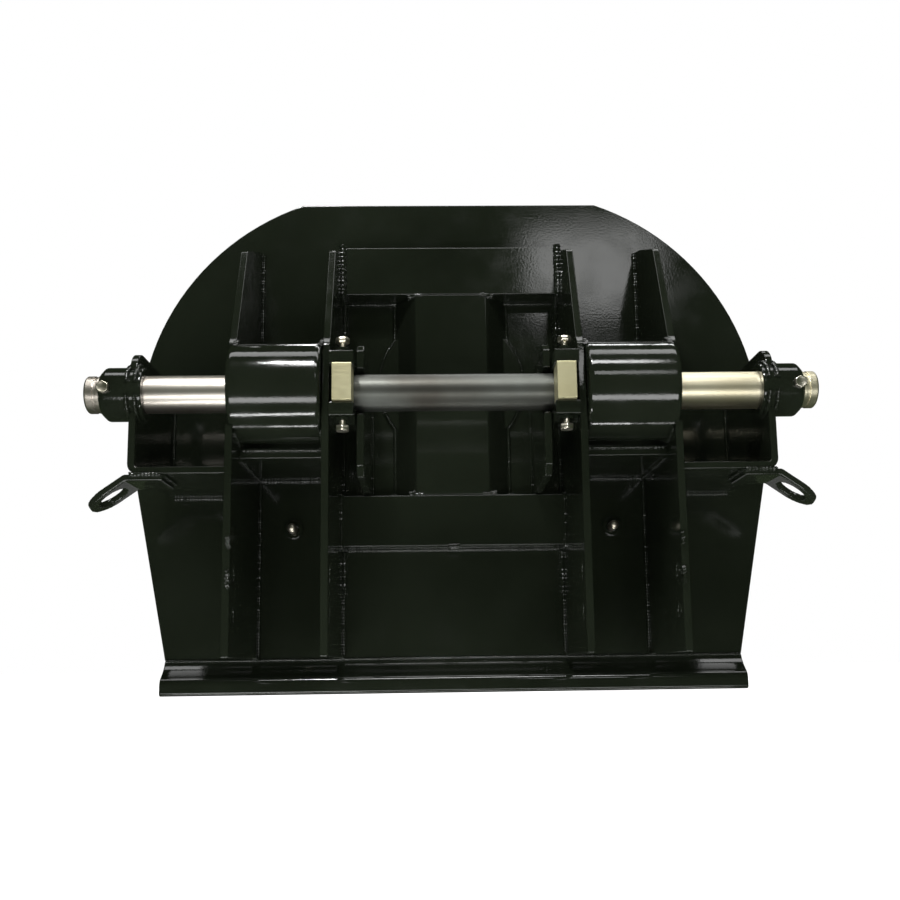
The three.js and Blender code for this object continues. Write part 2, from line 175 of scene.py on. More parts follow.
def bump(tree, height, strength, distance, under=None):
    """A bump, laid over another one if that is given."""
    node = tree.nodes.new("ShaderNodeBump")
    node.inputs["Strength"].default_value = strength
    node.inputs["Distance"].default_value = distance
    tree.links.new(height, node.inputs["Height"])
    if under is not None:
        tree.links.new(under, node.inputs["Normal"])
    return node.outputs["Normal"]


# %% [markdown]
# ## Gloss black paint
# The frame is sprayed with gloss enamel. The film mirrors its surroundings, but it is never
# perfectly flat: it has long waves from the rolled plate beneath, fine orange peel, thin haze and
# a few rubbed edges. The bevelled edges carry an attribute called edge, and noise breaks it up,
# so wear shows on corners only.

# %% Paint
EDGE = "edge"


def black_paint(name, peel, rough):
    material, tree, shader, place = new_finish(name)
    haze = grain(tree, place, 5, detail=6)
    colour = tint(tree, haze, [(0.3, (0.0046, 0.0060, 0.0037)), (0.7, (0.0085, 0.0108, 0.0070))])
    edge = tree.nodes.new("ShaderNodeAttribute")
    edge.attribute_name = EDGE
    chips = spread(tree, grain(tree, place, 70, detail=7), 0, 1, 0.54, 0.66)
    worn = product(tree, edge.outputs["Fac"], chips)
    tree.links.new(blend_colours(tree, worn, colour, (0.13, 0.13, 0.125)), shader.inputs["Base Color"])
    tree.links.new(spread(tree, grain(tree, place, 26, detail=8), *rough), shader.inputs["Roughness"])
    shader.inputs["IOR"].default_value = 1.5
    waves = bump(tree, grain(tree, place, 6, detail=1), 0.10, 0.002)
    skin = bump(tree, grain(tree, place, 330, detail=2), peel, 0.0006, waves)
    tree.links.new(skin, shader.inputs["Normal"])
    return material


PAINT = black_paint("gloss_black_paint", 0.10, (0.04, 0.14))
WELD_PAINT = black_paint("painted_weld", 0.6, (0.04, 0.12))
print("paints:", PAINT.name, WELD_PAINT.name)

# %% [markdown]
# ## Plated and bare steel
# The left pin is bright zinc, the right pin and the keeper blocks are yellow zinc, and the cross
# shaft is bare bar with a dark, brownish skin. Turned steel keeps fine rings round its axis, and
# drawn bar keeps streaks along it, so the noise is stretched one way or the other.

# %% Metals
RINGS = (2200, 5, 5)
STREAKS = (5, 140, 140)


def metal(name, dark, light, rough, lay, patches=11, lay_depth=0.015):
    material, tree, shader, place = new_finish(name)
    stains = grain(tree, place, patches, detail=7)
    tree.links.new(tint(tree, stains, [(0.32, dark), (0.62, light)]), shader.inputs["Base Color"])
    shader.inputs["Metallic"].default_value = 1
    lines = grain(tree, place, 1, lay, detail=3)
    tree.links.new(spread(tree, lines, rough * 0.9, rough * 1.12), shader.inputs["Roughness"])
    tree.links.new(bump(tree, lines, lay_depth, 0.0001), shader.inputs["Normal"])
    return material


BRIGHT_ZINC = metal("bright_zinc", (0.60, 0.53, 0.46), (0.78, 0.73, 0.66), 0.34, RINGS)
YELLOW_ZINC = metal("yellow_zinc", (0.84, 0.76, 0.54), (0.95, 0.89, 0.68), 0.40, RINGS)
CREAM_ZINC = metal("cream_zinc_block", (0.56, 0.51, 0.30), (0.70, 0.66, 0.43), 0.50, (60, 60, 400))
BOLT_ZINC = metal("bolt_zinc", (0.62, 0.57, 0.44), (0.85, 0.81, 0.70), 0.33, (200, 200, 200))
DARK_STEEL = metal("dark_bar_steel", (0.068, 0.064, 0.055), (0.132, 0.140, 0.128), 0.47, STREAKS, 6)
BRONZE = metal("bearing_bronze", (0.36, 0.23, 0.10), (0.55, 0.39, 0.19), 0.35, RINGS)
print("metals made:", 6)

# %% [markdown]
# ## Seal rubber
# A thin wiper seal closes the outer end of each housing. Rubber is matt and slightly dusty, so
# it has a high roughness that wanders a little, and a fine leathery bump.

# %% Rubber
def seal_rubber():
    material, tree, shader, place = new_finish("seal_rubber")
    dust = grain(tree, place, 60, detail=6)
    tree.links.new(tint(tree, dust, [(0.35, (0.012, 0.012, 0.012)), (0.7, (0.04, 0.038, 0.035))]),
                   shader.inputs["Base Color"])
    tree.links.new(spread(tree, dust, 0.55, 0.85), shader.inputs["Roughness"])
    tree.links.new(bump(tree, grain(tree, place, 700), 0.2, 0.0002), shader.inputs["Normal"])
    return material


RUBBER = seal_rubber()
print("rubber:", RUBBER.name)

# %% [markdown]
# ## Turning a mesh into a piece
# Each finished piece gets a name and a material, rides on its body, and hides the node that it
# stands for. One helper does all of that.

# %% Piece helper
def settle(name, mesh, material, node=None, body="frame"):
    mesh.name = name
    piece = bpy.data.objects.new(name, mesh)
    bpy.context.scene.collection.objects.link(piece)
    mesh.materials.clear()
    mesh.materials.append(material)
    if node:
        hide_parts(node)
    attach(piece, body)
    return piece


def mesh_of(bm, name):
    """The bmesh as a mesh, with its faces pointing out."""
    bmesh.ops.recalc_face_normals(bm, faces=bm.faces)
    mesh = bpy.data.meshes.new(name)
    bm.to_mesh(mesh)
    bm.free()
    return mesh


# %% [markdown]
# ## Cut plates with softened edges
# The frame pieces are sawn or flame-cut plate. A cut edge is never razor sharp: grinding and a
# thick film of paint round it, and that round is what catches the light. Each piece starts from
# a merged copy of its node. Flat areas become single faces, every sharp edge gets a small round,
# and the round carries the edge attribute.

# %% Softened copies
MERGE = 1e-6
FLAT = math.radians(1)
SHARP = math.radians(28)


def weigh_normals(mesh):
    """Vertex normals that lean towards the largest face, so flats stay flat."""
    sums = [Vector() for _ in mesh.vertices]
    for polygon in mesh.polygons:
        for corner in polygon.vertices:
            sums[corner] += polygon.normal * polygon.area
    mesh.normals_split_custom_set_from_vertices([total.normalized() for total in sums])


def softened(node, width, segments=3):
    """A copy of a node's mesh with rounded edges."""
    bm = bmesh.new()
    bm.from_mesh(frame["nodes"][node].data)
    bmesh.ops.remove_doubles(bm, verts=bm.verts, dist=MERGE)
    bmesh.ops.dissolve_limit(bm, angle_limit=FLAT, verts=bm.verts, edges=bm.edges)
    bm.normal_update()
    sharp = [e for e in bm.edges if len(e.link_faces) == 2 and e.calc_face_angle() > SHARP]
    made = bmesh.ops.bevel(bm, geom=sharp, offset=width * MM, offset_type="OFFSET", segments=segments,
                           profile=0.5, affect="EDGES", clamp_overlap=False)
    worn = bm.faces.layers.float.new(EDGE)
    rounds = set(made["faces"])
    for face in bm.faces:
        face.smooth = True
        face[worn] = 1.0 if face in rounds else 0.0
    mesh = mesh_of(bm, node)
    weigh_normals(mesh)
    return mesh


PLATE_ROUNDS = {
    "carrier_plate": 1.5, "bottom_lip": 1.6, "upper_crossbar": 1.6, "lower_crossbar": 1.6,
    "stem": 1.2, "centre_disc": 1.0, "inner_rib": 1.4, "outer_rib": 1.4, "housing_shelf": 1.2,
    "side_bracket": 1.3, "keeper_saddle": 1.3, "inner_gusset": 1.4,
}


def plate_pieces():
    count = 0
    for stem_name, width in PLATE_ROUNDS.items():
        names = [stem_name] if stem_name in frame["nodes"] else [f"{w}_{stem_name}" for _, w in SIDES]
        for node in names:
            settle(f"{node}_painted", softened(node, width), PAINT, node)
            count += 1
    return count


print("softened plates:", plate_pieces())

# %% [markdown]
# ## Tie-down eyes
# Each eye is forged from flat bar, so nothing on it is crisp. A voxel remesh joins the bar, the
# bend and the ring into one skin, and a few rounds of smoothing melt the edges as forging does.

# %% Eyes
def melted(node, voxel, rounds):
    """A node's shape as one smooth skin."""
    bm = bmesh.new()
    bm.from_mesh(frame["nodes"][node].data)
    bmesh.ops.remove_doubles(bm, verts=bm.verts, dist=MERGE)
    rough = bpy.data.objects.new("rough", mesh_of(bm, "rough"))
    bpy.context.scene.collection.objects.link(rough)
    remesh = rough.modifiers.new("skin", "REMESH")
    remesh.mode = "VOXEL"
    remesh.voxel_size = voxel * MM
    smooth = rough.modifiers.new("melt", "SMOOTH")
    smooth.iterations = rounds
    smooth.factor = 0.5
    view_layer = bpy.context.evaluated_depsgraph_get()
    mesh = bpy.data.meshes.new_from_object(rough.evaluated_get(view_layer))
    bpy.data.objects.remove(rough)
    for polygon in mesh.polygons:
        polygon.use_smooth = True
    return mesh


for _, word in SIDES:
    node = f"{word}_tie_eye"
    eye = settle(f"{node}_forged", melted(node, 1.3, 6), PAINT, node)
    print(eye.name, len(eye.data.polygons), "faces")

# %% [markdown]
# ## Turned pieces
# Pins, housings, bosses and bushings come off a lathe, so each one is a profile spun about the
# shaft axis. The profile's corners are rounded first. A short straight run on each side of a
# round keeps the shading of the long faces flat.

# %% Lathe helpers
TURNED_SEGMENTS = 96


def eased(profile, radius, closed, steps=4):
    """The (x, radius) profile with its corners rounded."""
    points = []
    count = len(profile)
    for i, corner in enumerate(profile):
        ends = not closed and i in (0, count - 1)
        if ends:
            points.append(corner)
            continue
        here = Vector(corner)
        back = Vector(profile[i - 1]) - here
        ahead = Vector(profile[(i + 1) % count]) - here
        size = min(radius * MM, back.length * 0.3, ahead.length * 0.3)
        start = here + back.normalized() * size
        end = here + ahead.normalized() * size
        points.append(tuple(start + back.normalized() * size * 0.3))
        for k in range(steps + 1):
            t = k / steps
            on_round = start * (1 - t) ** 2 + here * 2 * t * (1 - t) + end * t ** 2
            points.append(tuple(on_round))
        points.append(tuple(end + ahead.normalized() * size * 0.3))
    return points


def spun(name, profile, closed, centre=None, direction="x", segments=TURNED_SEGMENTS):
    """The profile spun about the shaft axis, or about a line through another centre."""
    bm = bmesh.new()
    rings = []
    for along, radius in profile:
        if radius < 1e-7:
            rings.append([bm.verts.new(swung(along, 0, 0, centre, direction))])
            continue
        ring = []
        for k in range(segments):
            turn = 2 * math.pi * k / segments
            across = (radius * math.cos(turn), radius * math.sin(turn))
            ring.append(bm.verts.new(swung(along, *across, centre, direction)))
        rings.append(ring)
    if closed:
        rings.append(rings[0])
    for first, second in zip(rings, rings[1:]):
        join_rings(bm, first, second)
    for face in bm.faces:
        face.smooth = True
    return mesh_of(bm, name)


def swung(along, u, v, centre, direction):
    """A lathe point in the row frame."""
    if direction == "x":
        y, z = (AXIS_Y, AXIS_Z) if centre is None else (centre[1], centre[2])
        return (along, y + u, z + v)
    if direction == "y":
        return (centre[0] + u, along, centre[2] + v)
    return (centre[0] + u, centre[1] + v, along)


def join_rings(bm, first, second):
    count = max(len(first), len(second))
    for k in range(count):
        after = (k + 1) % count
        if len(first) == 1:
            bm.faces.new((first[0], second[k], second[after]))
        elif len(second) == 1:
            bm.faces.new((first[k], first[after], second[0]))
        else:
            bm.faces.new((first[k], first[after], second[after], second[k]))


# %% [markdown]
# ## Pin housings, bushings and seals
# A housing is a thick tube with well-rounded rims. Two bronze bushings line it, and a rubber
# wiper stands a little proud of the outer rim. The box of each node gives the length and the
# outer radius; the bores follow the pin.

# %% Housings
pin_low, pin_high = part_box("left_side_pin")
PIN_R = (pin_high.z - pin_low.z) / 2
BORE_GAP = 0.08 * MM


def tube_piece(node, bore, ease, material):
    low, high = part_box(node)
    outer = (high.z - low.z) / 2
    square = [(low.x, bore), (low.x, outer), (high.x, outer), (high.x, bore)]
    mesh = spun(node, eased(square, ease, True), True)
    return settle(f"{node}_turned", mesh, material, node)


for _, word in SIDES:
    bush_outer = (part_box(f"{word}_inner_bushing")[1].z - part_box(f"{word}_inner_bushing")[0].z) / 2
    tube_piece(f"{word}_pin_housing", bush_outer + 0.3 * MM, 6, PAINT)
    tube_piece(f"{word}_inner_bushing", PIN_R + BORE_GAP, 1.2, BRONZE)
    tube_piece(f"{word}_outer_bushing", PIN_R + BORE_GAP, 1.2, BRONZE)
    tube_piece(f"{word}_pin_seal", PIN_R + 0.3 * MM, 1.5, RUBBER)
print("pin radius:", round(PIN_R / MM, 2), "mm; housings, bushings and seals made")

# %% [markdown]
# ## Bosses
# The outer boss has a wide chamfer on its outer end, which leads the eye down to the pin. It is
# a closed profile too, with the chamfer as one more corner.

# %% Bosses
BOSS_CHAMFER = 7 * MM


def boss_piece(side, word):
    node = f"{word}_pin_boss"
    low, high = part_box(node)
    outer = (high.z - low.z) / 2
    inner_end, outer_end = (high.x, low.x) if side < 0 else (low.x, high.x)
    bore = PIN_R + BORE_GAP
    profile = [(inner_end, bore), (inner_end, outer), (outer_end - side * BOSS_CHAMFER, outer),
               (outer_end, outer - BOSS_CHAMFER), (outer_end, bore)]
    settle(f"{node}_turned", spun(node, eased(profile, 2.4, True), True), PAINT, node)


for side, word in SIDES:
    boss_piece(side, word)
print("bosses made")

# %% [markdown]
# ## Side pins and cross shaft
# A side pin is turned bar. It has a retaining groove near its outer end, a chamfer, and a small
# centre-drill mark where the lathe held it. The cross shaft is plain bar between the saddles.

# %% Pins
GROOVE_FROM_END = 16 * MM
GROOVE_WIDTH = 4.5 * MM
GROOVE_DEPTH = 2 * MM
CENTRE_MARK = 5 * MM


def side_pin(side, word, material):
    node = f"{word}_side_pin"
    low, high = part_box(node)
    root, tip = (high.x, low.x) if side < 0 else (low.x, high.x)
    neck = tip - side * GROOVE_FROM_END
    lip = neck + side * GROOVE_WIDTH
    profile = [(root, 0), (root, PIN_R - 3 * MM), (root + side * 3 * MM, PIN_R),
               (neck, PIN_R), (neck, PIN_R - GROOVE_DEPTH), (lip, PIN_R - GROOVE_DEPTH), (lip, PIN_R),
               (tip - side * 2 * MM, PIN_R), (tip, PIN_R - 2 * MM),
               (tip, CENTRE_MARK), (tip - side * CENTRE_MARK, 0)]
    mesh = spun(node, eased(profile, 1.0, False), False)
    settle(f"{node}_turned", mesh, material, node, f"{word}_pin")


side_pin(-1, "left", BRIGHT_ZINC)
side_pin(1, "right", YELLOW_ZINC)

shaft_low, shaft_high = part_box("cross_shaft")
SHAFT_R = (shaft_high.z - shaft_low.z) / 2
shaft_profile = [(shaft_low.x, 0), (shaft_low.x, SHAFT_R - 2 * MM), (shaft_low.x + 2 * MM, SHAFT_R),
                 (shaft_high.x - 2 * MM, SHAFT_R), (shaft_high.x, SHAFT_R - 2 * MM), (shaft_high.x, 0)]
settle("cross_shaft_bar", spun("cross_shaft", eased(shaft_profile, 1.0, False), False), DARK_STEEL,
       "cross_shaft", "shaft")
print("pins and shaft made, shaft radius", round(SHAFT_R / MM, 2), "mm")

# %% [markdown]
# ## Keeper blocks
# A keeper block is a short piece of plated square bar that closes the open side of the saddle.
# It is softened like a plate, with a smaller round.

# %% Blocks
for _, word in SIDES:
    node = f"{word}_keeper_block"
    settle(f"{node}_plated", softened(node, 0.8), CREAM_ZINC, node, f"{word}_block")
print("keeper blocks made")

# %% [markdown]
# ## Bolts, studs and nuts
# A hexagon head is a hexagon cut by a shallow cone, which leaves the curved corners that every
# real head shows. A thread is a ridge that winds round the shank. Both are radius rules: one
# gives the head's radius for an angle, the other the shank's radius for an angle and a height.
# A grid of rings follows the rule, so a head and its shank are one mesh.

# %% Bolt helpers
BOLT_SEGMENTS = 48
PITCH = 1.5 * MM
STEPS_PER_PITCH = 4
HEAD_FLAT = 0.94
THREAD_DEPTH = 0.7 * MM


def hexagon_radius(turn, across_flats):
    corner = math.radians(60)
    return across_flats / 2 / math.cos((turn % corner) - corner / 2)


def head_rings(base, height, across_flats):
    """(along, radius rule) pairs for a hexagon head with coned corners."""
    flat = across_flats / 2 * HEAD_FLAT
    slope = math.tan(math.radians(30))

    def wall(turn):
        return hexagon_radius(turn, across_flats)

    def cone(turn):
        return base + height - (wall(turn) - flat) * slope

    return [(lambda t: base, lambda t: 0.0), (lambda t: base, wall), (cone, wall),
            (lambda t: base + height, lambda t: flat), (lambda t: base + height * 0.93, lambda t: flat * 0.9),
            (lambda t: base + height * 0.93, lambda t: 0.0)]


def shank_rings(start, end, radius):
    """(along, radius rule) pairs for a threaded shank."""
    steps = max(8, int((end - start) / (PITCH / STEPS_PER_PITCH)))
    rings = [(lambda t: start, lambda t: 0.0)]
    for k in range(steps + 1):
        along = start + (end - start) * k / steps

        def ridge(turn, along=along):
            phase = (along / PITCH - turn / (2 * math.pi)) % 1
            return radius - THREAD_DEPTH * abs(2 * phase - 1)

        rings.append((lambda t, along=along: along, ridge))
    rings.append((lambda t: end, lambda t: 0.0))
    return rings


def ruled(bm, rings, place):
    """Adds a closed skin of rings to the bmesh; place turns (along, u, v) into a point."""
    loops = []
    for along, radius in rings:
        if radius(0) < 1e-7:
            loops.append([bm.verts.new(place(along(0), 0, 0))])
            continue
        loop = []
        for k in range(BOLT_SEGMENTS):
            turn = 2 * math.pi * k / BOLT_SEGMENTS
            r = radius(turn)
            loop.append(bm.verts.new(place(along(turn), r * math.cos(turn), r * math.sin(turn))))
        loops.append(loop)
    for first, second in zip(loops, loops[1:]):
        join_rings(bm, first, second)


def facing(start, direction):
    """A function that puts bolt points on a line from start."""
    aim = Vector(direction).to_track_quat("Z", "X")
    return lambda along, u, v: start + aim @ Vector((u, v, along))


def shade_bolt(bm):
    for face in bm.faces:
        face.smooth = True
    for edge in bm.edges:
        if len(edge.link_faces) == 2 and edge.calc_face_angle() > math.radians(25):
            edge.smooth = False


def hexagon_bolt(node, direction, across_flats, head_height, shank_radius):
    low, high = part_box(node)
    middle = (low + high) / 2
    aim = Vector(direction)
    span = abs((high - low).dot(aim))
    start = middle - aim * span / 2
    bm = bmesh.new()
    ruled(bm, shank_rings(0, span - head_height * 0.5, shank_radius), facing(start, aim))
    ruled(bm, head_rings(span - head_height, head_height, across_flats), facing(start, aim))
    shade_bolt(bm)
    settle(f"{node}_threaded", mesh_of(bm, node), BOLT_ZINC, node)


for _, word in SIDES:
    hexagon_bolt(f"{word}_upper_jack_bolt", (0, 0, 1), 16 * MM, 7.5 * MM, 4.5 * MM)
    hexagon_bolt(f"{word}_lower_jack_bolt", (0, 0, -1), 16 * MM, 7.5 * MM, 4.5 * MM)
    hexagon_bolt(f"{word}_set_bolt", (0, -1, 0), 15 * MM, 6.5 * MM, 5 * MM)
    for place_word in ("upper", "lower"):
        nut = f"{word}_{place_word}_jam_nut"
        settle(f"{nut}_painted", softened(nut, 0.5, 2), PAINT, nut)
print("jack bolts, set bolts and jam nuts made")

# %% [markdown]
# ## Plate bolts
# A stud comes through the plate inside a painted collar on each side. The stud is one long
# thread with a domed end, and the collar is turned.

# %% Studs and collars
def plate_bolt(word):
    node = f"{word}_plate_bolt"
    low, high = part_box(node)
    middle = (low + high) / 2
    radius = (high.z - low.z) / 2
    start = Vector((middle.x, high.y, middle.z))
    bm = bmesh.new()
    length = high.y - low.y
    rings = shank_rings(0, length - 3 * MM, radius)[:-1]
    for along, share in ((length - 1.4 * MM, 0.78), (length - 0.4 * MM, 0.5), (length, 0.0)):
        rings.append((lambda t, along=along: along, lambda t, share=share: radius * share))
    ruled(bm, rings, facing(start, (0, -1, 0)))
    shade_bolt(bm)
    settle(f"{node}_threaded", mesh_of(bm, node), BOLT_ZINC, node)
    collar = f"{word}_bolt_washer"
    c_low, c_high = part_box(collar)
    outer = (c_high.z - c_low.z) / 2
    square = [(c_low.y, radius + 0.3 * MM), (c_low.y, outer), (c_high.y, outer),
              (c_high.y, radius + 0.3 * MM)]
    mesh = spun(collar, eased(square, 1.6, True), True, middle, "y", 64)
    settle(f"{collar}_turned", mesh, PAINT, collar)


for _, word in SIDES:
    plate_bolt(word)
print("plate bolts and collars made")

# %% [markdown]
# ## Weld beads
# Every joint of the frame is a fillet weld. A bead is a row of overlapping ripples, a little
# uneven, with beads of spatter stuck to it, and gloss paint makes each ripple sparkle. Beads
# follow paths, so Geometry Nodes make them: a tree takes bare curves, sweeps a round profile
# along them with a size that follows a wave, pushes the skin about with noise, adds spatter, and
# paints the result.

# %% The bead tree
def add_input(tree, name, kind, value):
    socket = tree.interface.new_socket(name, in_out="INPUT", socket_type=kind)
    socket.default_value = value
    return socket


def bead_tree(material):
    tree = bpy.data.node_groups.new("weld_bead", "GeometryNodeTree")
    tree.interface.new_socket("Geometry", in_out="INPUT", socket_type="NodeSocketGeometry")
    add_input(tree, "Bead radius", "NodeSocketFloat", 3.2 * MM)
    add_input(tree, "Ripple length", "NodeSocketFloat", 4.6 * MM)
    add_input(tree, "Unevenness", "NodeSocketFloat", 1.5 * MM)
    add_input(tree, "Spatter density", "NodeSocketFloat", 9000.0)
    add_input(tree, "Seed", "NodeSocketInt", 7)
    tree.interface.new_socket("Geometry", in_out="OUTPUT", socket_type="NodeSocketGeometry")
    make = tree.nodes.new
    link = tree.links.new
    given = make("NodeGroupInput")
    result = make("NodeGroupOutput")

    def maths(operation, first, second=None):
        node = make("ShaderNodeMath")
        node.operation = operation
        for socket, value in zip(node.inputs, (first, second)):
            if isinstance(value, (int, float)):
                socket.default_value = value
            elif value is not None:
                link(value, socket)
        return node.outputs[0]

    step = maths("DIVIDE", given.outputs["Ripple length"], 3.0)
    even = make("GeometryNodeResampleCurve")
    even.mode = "LENGTH"
    link(given.outputs["Geometry"], even.inputs["Curve"])
    link(step, even.inputs["Length"])
    along = make("GeometryNodeSplineParameter")
    turns = maths("DIVIDE", along.outputs["Length"], given.outputs["Ripple length"])
    wave = maths("SINE", maths("MULTIPLY", turns, 2 * math.pi))
    wander = make("ShaderNodeTexNoise")
    wander.inputs["Scale"].default_value = 90
    swell = maths("MULTIPLY", wander.outputs["Fac"], 0.7)
    size = maths("ADD", maths("MULTIPLY", wave, 0.13), maths("ADD", swell, 0.62))
    profile = make("GeometryNodeCurvePrimitiveCircle")
    profile.inputs["Resolution"].default_value = 8
    link(given.outputs["Bead radius"], profile.inputs["Radius"])
    sweep = make("GeometryNodeCurveToMesh")
    sweep.inputs["Fill Caps"].default_value = True
    link(size, sweep.inputs["Scale"])
    link(even.outputs["Curve"], sweep.inputs["Curve"])
    link(profile.outputs["Curve"], sweep.inputs["Profile Curve"])
    push = make("ShaderNodeTexNoise")
    push.inputs["Scale"].default_value = 260
    centred = make("ShaderNodeVectorMath")
    centred.operation = "SUBTRACT"
    centred.inputs[1].default_value = (0.5, 0.5, 0.5)
    link(push.outputs["Color"], centred.inputs[0])
    scaled = make("ShaderNodeVectorMath")
    scaled.operation = "SCALE"
    link(centred.outputs["Vector"], scaled.inputs[0])
    link(given.outputs["Unevenness"], scaled.inputs["Scale"])
    moved = make("GeometryNodeSetPosition")
    link(sweep.outputs["Mesh"], moved.inputs["Geometry"])
    link(scaled.outputs["Vector"], moved.inputs["Offset"])
    scatter = make("GeometryNodeDistributePointsOnFaces")
    link(moved.outputs["Geometry"], scatter.inputs["Mesh"])
    link(given.outputs["Spatter density"], scatter.inputs["Density"])
    link(given.outputs["Seed"], scatter.inputs["Seed"])
    drop = make("GeometryNodeMeshIcoSphere")
    drop.inputs["Radius"].default_value = 1.2 * MM
    drop.inputs["Subdivisions"].default_value = 1
    chance = make("FunctionNodeRandomValue")
    for socket, number in zip([s for s in chance.inputs if s.name in ("Min", "Max")][2:4], (0.5, 1.5)):
        socket.default_value = number
    link(given.outputs["Seed"], chance.inputs["Seed"])
    spread_out = make("GeometryNodeInstanceOnPoints")
    link(scatter.outputs["Points"], spread_out.inputs["Points"])
    link(drop.outputs["Mesh"], spread_out.inputs["Instance"])
    link([s for s in chance.outputs if s.name == "Value"][1], spread_out.inputs["Scale"])
    both = make("GeometryNodeJoinGeometry")
    link(spread_out.outputs["Instances"], both.inputs["Geometry"])
    link(moved.outputs["Geometry"], both.inputs["Geometry"])
    smooth = make("GeometryNodeSetShadeSmooth")
    real = make("GeometryNodeRealizeInstances")
    paint = make("GeometryNodeSetMaterial")
    paint.inputs["Material"].default_value = material
    link(both.outputs["Geometry"], real.inputs["Geometry"])
    link(real.outputs["Geometry"], smooth.inputs["Geometry"])
    link(smooth.outputs["Geometry"], paint.inputs["Geometry"])
    link(paint.outputs["Geometry"], result.inputs["Geometry"])
    return tree


BEAD = bead_tree(WELD_PAINT)
print("bead tree nodes:", len(BEAD.nodes))

# %% [markdown]
# The tree is used once for each group of joints. A group is a list of paths, and the modifier's
# inputs are set through their socket identifiers before the object is first evaluated.

# %% Laying beads
def set_input(modifier, name, value):
    for item in BEAD.interface.items_tree:
        if item.name == name and item.in_out == "INPUT":
            modifier[item.identifier] = value


def lay_beads(name, paths, radius=3.2, ripple=4.6, spatter=9000.0, seed=7):
    """Beads along the paths, as one plain mesh on the frame."""
    curve = bpy.data.curves.new(name, "CURVE")
    curve.dimensions = "3D"
    for path in paths:
        spline = curve.splines.new("POLY")
        spline.points.add(len(path) - 1)
        for point, place in zip(spline.points, path):
            point.co = (*place, 1)
    holder = bpy.data.objects.new(name, curve)
    bpy.context.scene.collection.objects.link(holder)
    modifier = holder.modifiers.new("beads", "NODES")
    modifier.node_group = BEAD
    set_input(modifier, "Bead radius", radius * MM)
    set_input(modifier, "Ripple length", ripple * MM)
    set_input(modifier, "Spatter density", spatter)
    set_input(modifier, "Seed", seed)
    view_layer = bpy.context.evaluated_depsgraph_get()
    mesh = bpy.data.meshes.new_from_object(holder.evaluated_get(view_layer))
    bpy.data.objects.remove(holder)
    piece = settle(name, mesh, WELD_PAINT)
    print(name, len(mesh.polygons), "faces")
    return piece


def run(*points):
    return [at(*p) for p in points]


def ring_path(x, radius, start, end, steps=40):
    """An arc round the shaft axis, in degrees from straight ahead."""
    path = []
    for k in range(steps + 1):
        turn = math.radians(start + (end - start) * k / steps)
        path.append(Vector((x * MM, AXIS_Y - radius * MM * math.cos(turn),
                            AXIS_Z + radius * MM * math.sin(turn))))
    return path


# %% [markdown]
# ## Where the frame is welded
# Ribs are welded to the plate along both sides, crossbars and stem along their edges, and the
# housings round their ends. The welds of the left half mirror those of the right half.

# %% Rib welds
INNER_IN, INNER_OUT, OUTER_IN, OUTER_OUT = 166, 176, 292, 302
LOW, TOP = -354, 272


def rib_paths(s):
    return [
        run((s * (INNER_IN - 1), 1, LOW), (s * (INNER_IN - 1), 1, -197)),
        run((s * (INNER_IN - 1), 1, -117), (s * (INNER_IN - 1), 1, 189)),
        run((s * (INNER_OUT + 1), 1, LOW), (s * (INNER_OUT + 1), 1, TOP)),
        run((s * (OUTER_IN - 1), 1, LOW), (s * (OUTER_IN - 1), 1, TOP)),
        run((s * (OUTER_OUT + 1), 1, LOW), (s * (OUTER_OUT + 1), 1, TOP)),
        run((s * INNER_IN, 2, LOW - 1), (s * INNER_IN, 28, LOW - 1)),
        run((s * OUTER_IN, 2, LOW - 1), (s * OUTER_IN, 28, LOW - 1)),
    ]


lay_beads("rib_welds", rib_paths(-1) + rib_paths(1), 3.0, 4.4, 7000.0, 3)

# %% Crossbar, stem and disc welds
BAR_FRONT = 43
UPPER, LOWER = (191, 266), (-195, -119)
STEM_FOOT, STEM_HALF = 86, 57


def bar_end(s, low, high):
    x = s * (INNER_IN - 1)
    return run((x, 2, high + 1), (x, BAR_FRONT, high + 1), (x, BAR_FRONT + 1, high - 1),
               (x, BAR_FRONT + 1, low + 1), (x, BAR_FRONT, low - 1), (x, 2, low - 1))


def crossbar_paths():
    paths = [bar_end(s, *span) for s in (-1, 1) for span in (UPPER, LOWER)]
    for z in (UPPER[0] - 1, UPPER[1] + 1, LOWER[0] - 1, LOWER[1] + 1):
        paths.append(run((-INNER_IN + 3, 1, z), (INNER_IN - 3, 1, z)))
    for s in (-1, 1):
        paths.append(run((s * (STEM_FOOT + 1), 1, LOWER[1] + 2), (s * (STEM_FOOT + 1), 1, UPPER[0] - 2)))
        for z in (LOWER[1] + 1, UPPER[0] - 1):
            paths.append(run((s * 44, BAR_FRONT, z), (s * STEM_HALF, BAR_FRONT - 1, z), (s * 66, 28, z)))
    return paths


def disc_path(radius, start, end, z=61, steps=60):
    path = []
    for k in range(steps + 1):
        turn = math.radians(start + (end - start) * k / steps)
        path.append(at(radius * math.cos(turn), 1.5, z + radius * math.sin(turn)))
    return path


disc_arcs = [disc_path(111.5, -38, 38), disc_path(111.5, 142, 218)]
lay_beads("crossbar_welds", crossbar_paths() + disc_arcs, 2.8, 4.4, 8000.0, 11)


# %% [markdown]
# Some joints were welded by hand in several heavy passes. They are thicker and lumpier than the
# rest: the inner side of each inner rib beside the upper crossbar, the four corners where the
# stem meets the bars, the middle of the lower bar, and a few tacks on the outer ribs.

# %% Heavy passes
RIB_TACKS_Z = (-206, -212, -250, -258, -264)


def tack(x, depth, z, reach=5):
    return run((x - reach, depth, z), (x + reach, depth, z + 1))


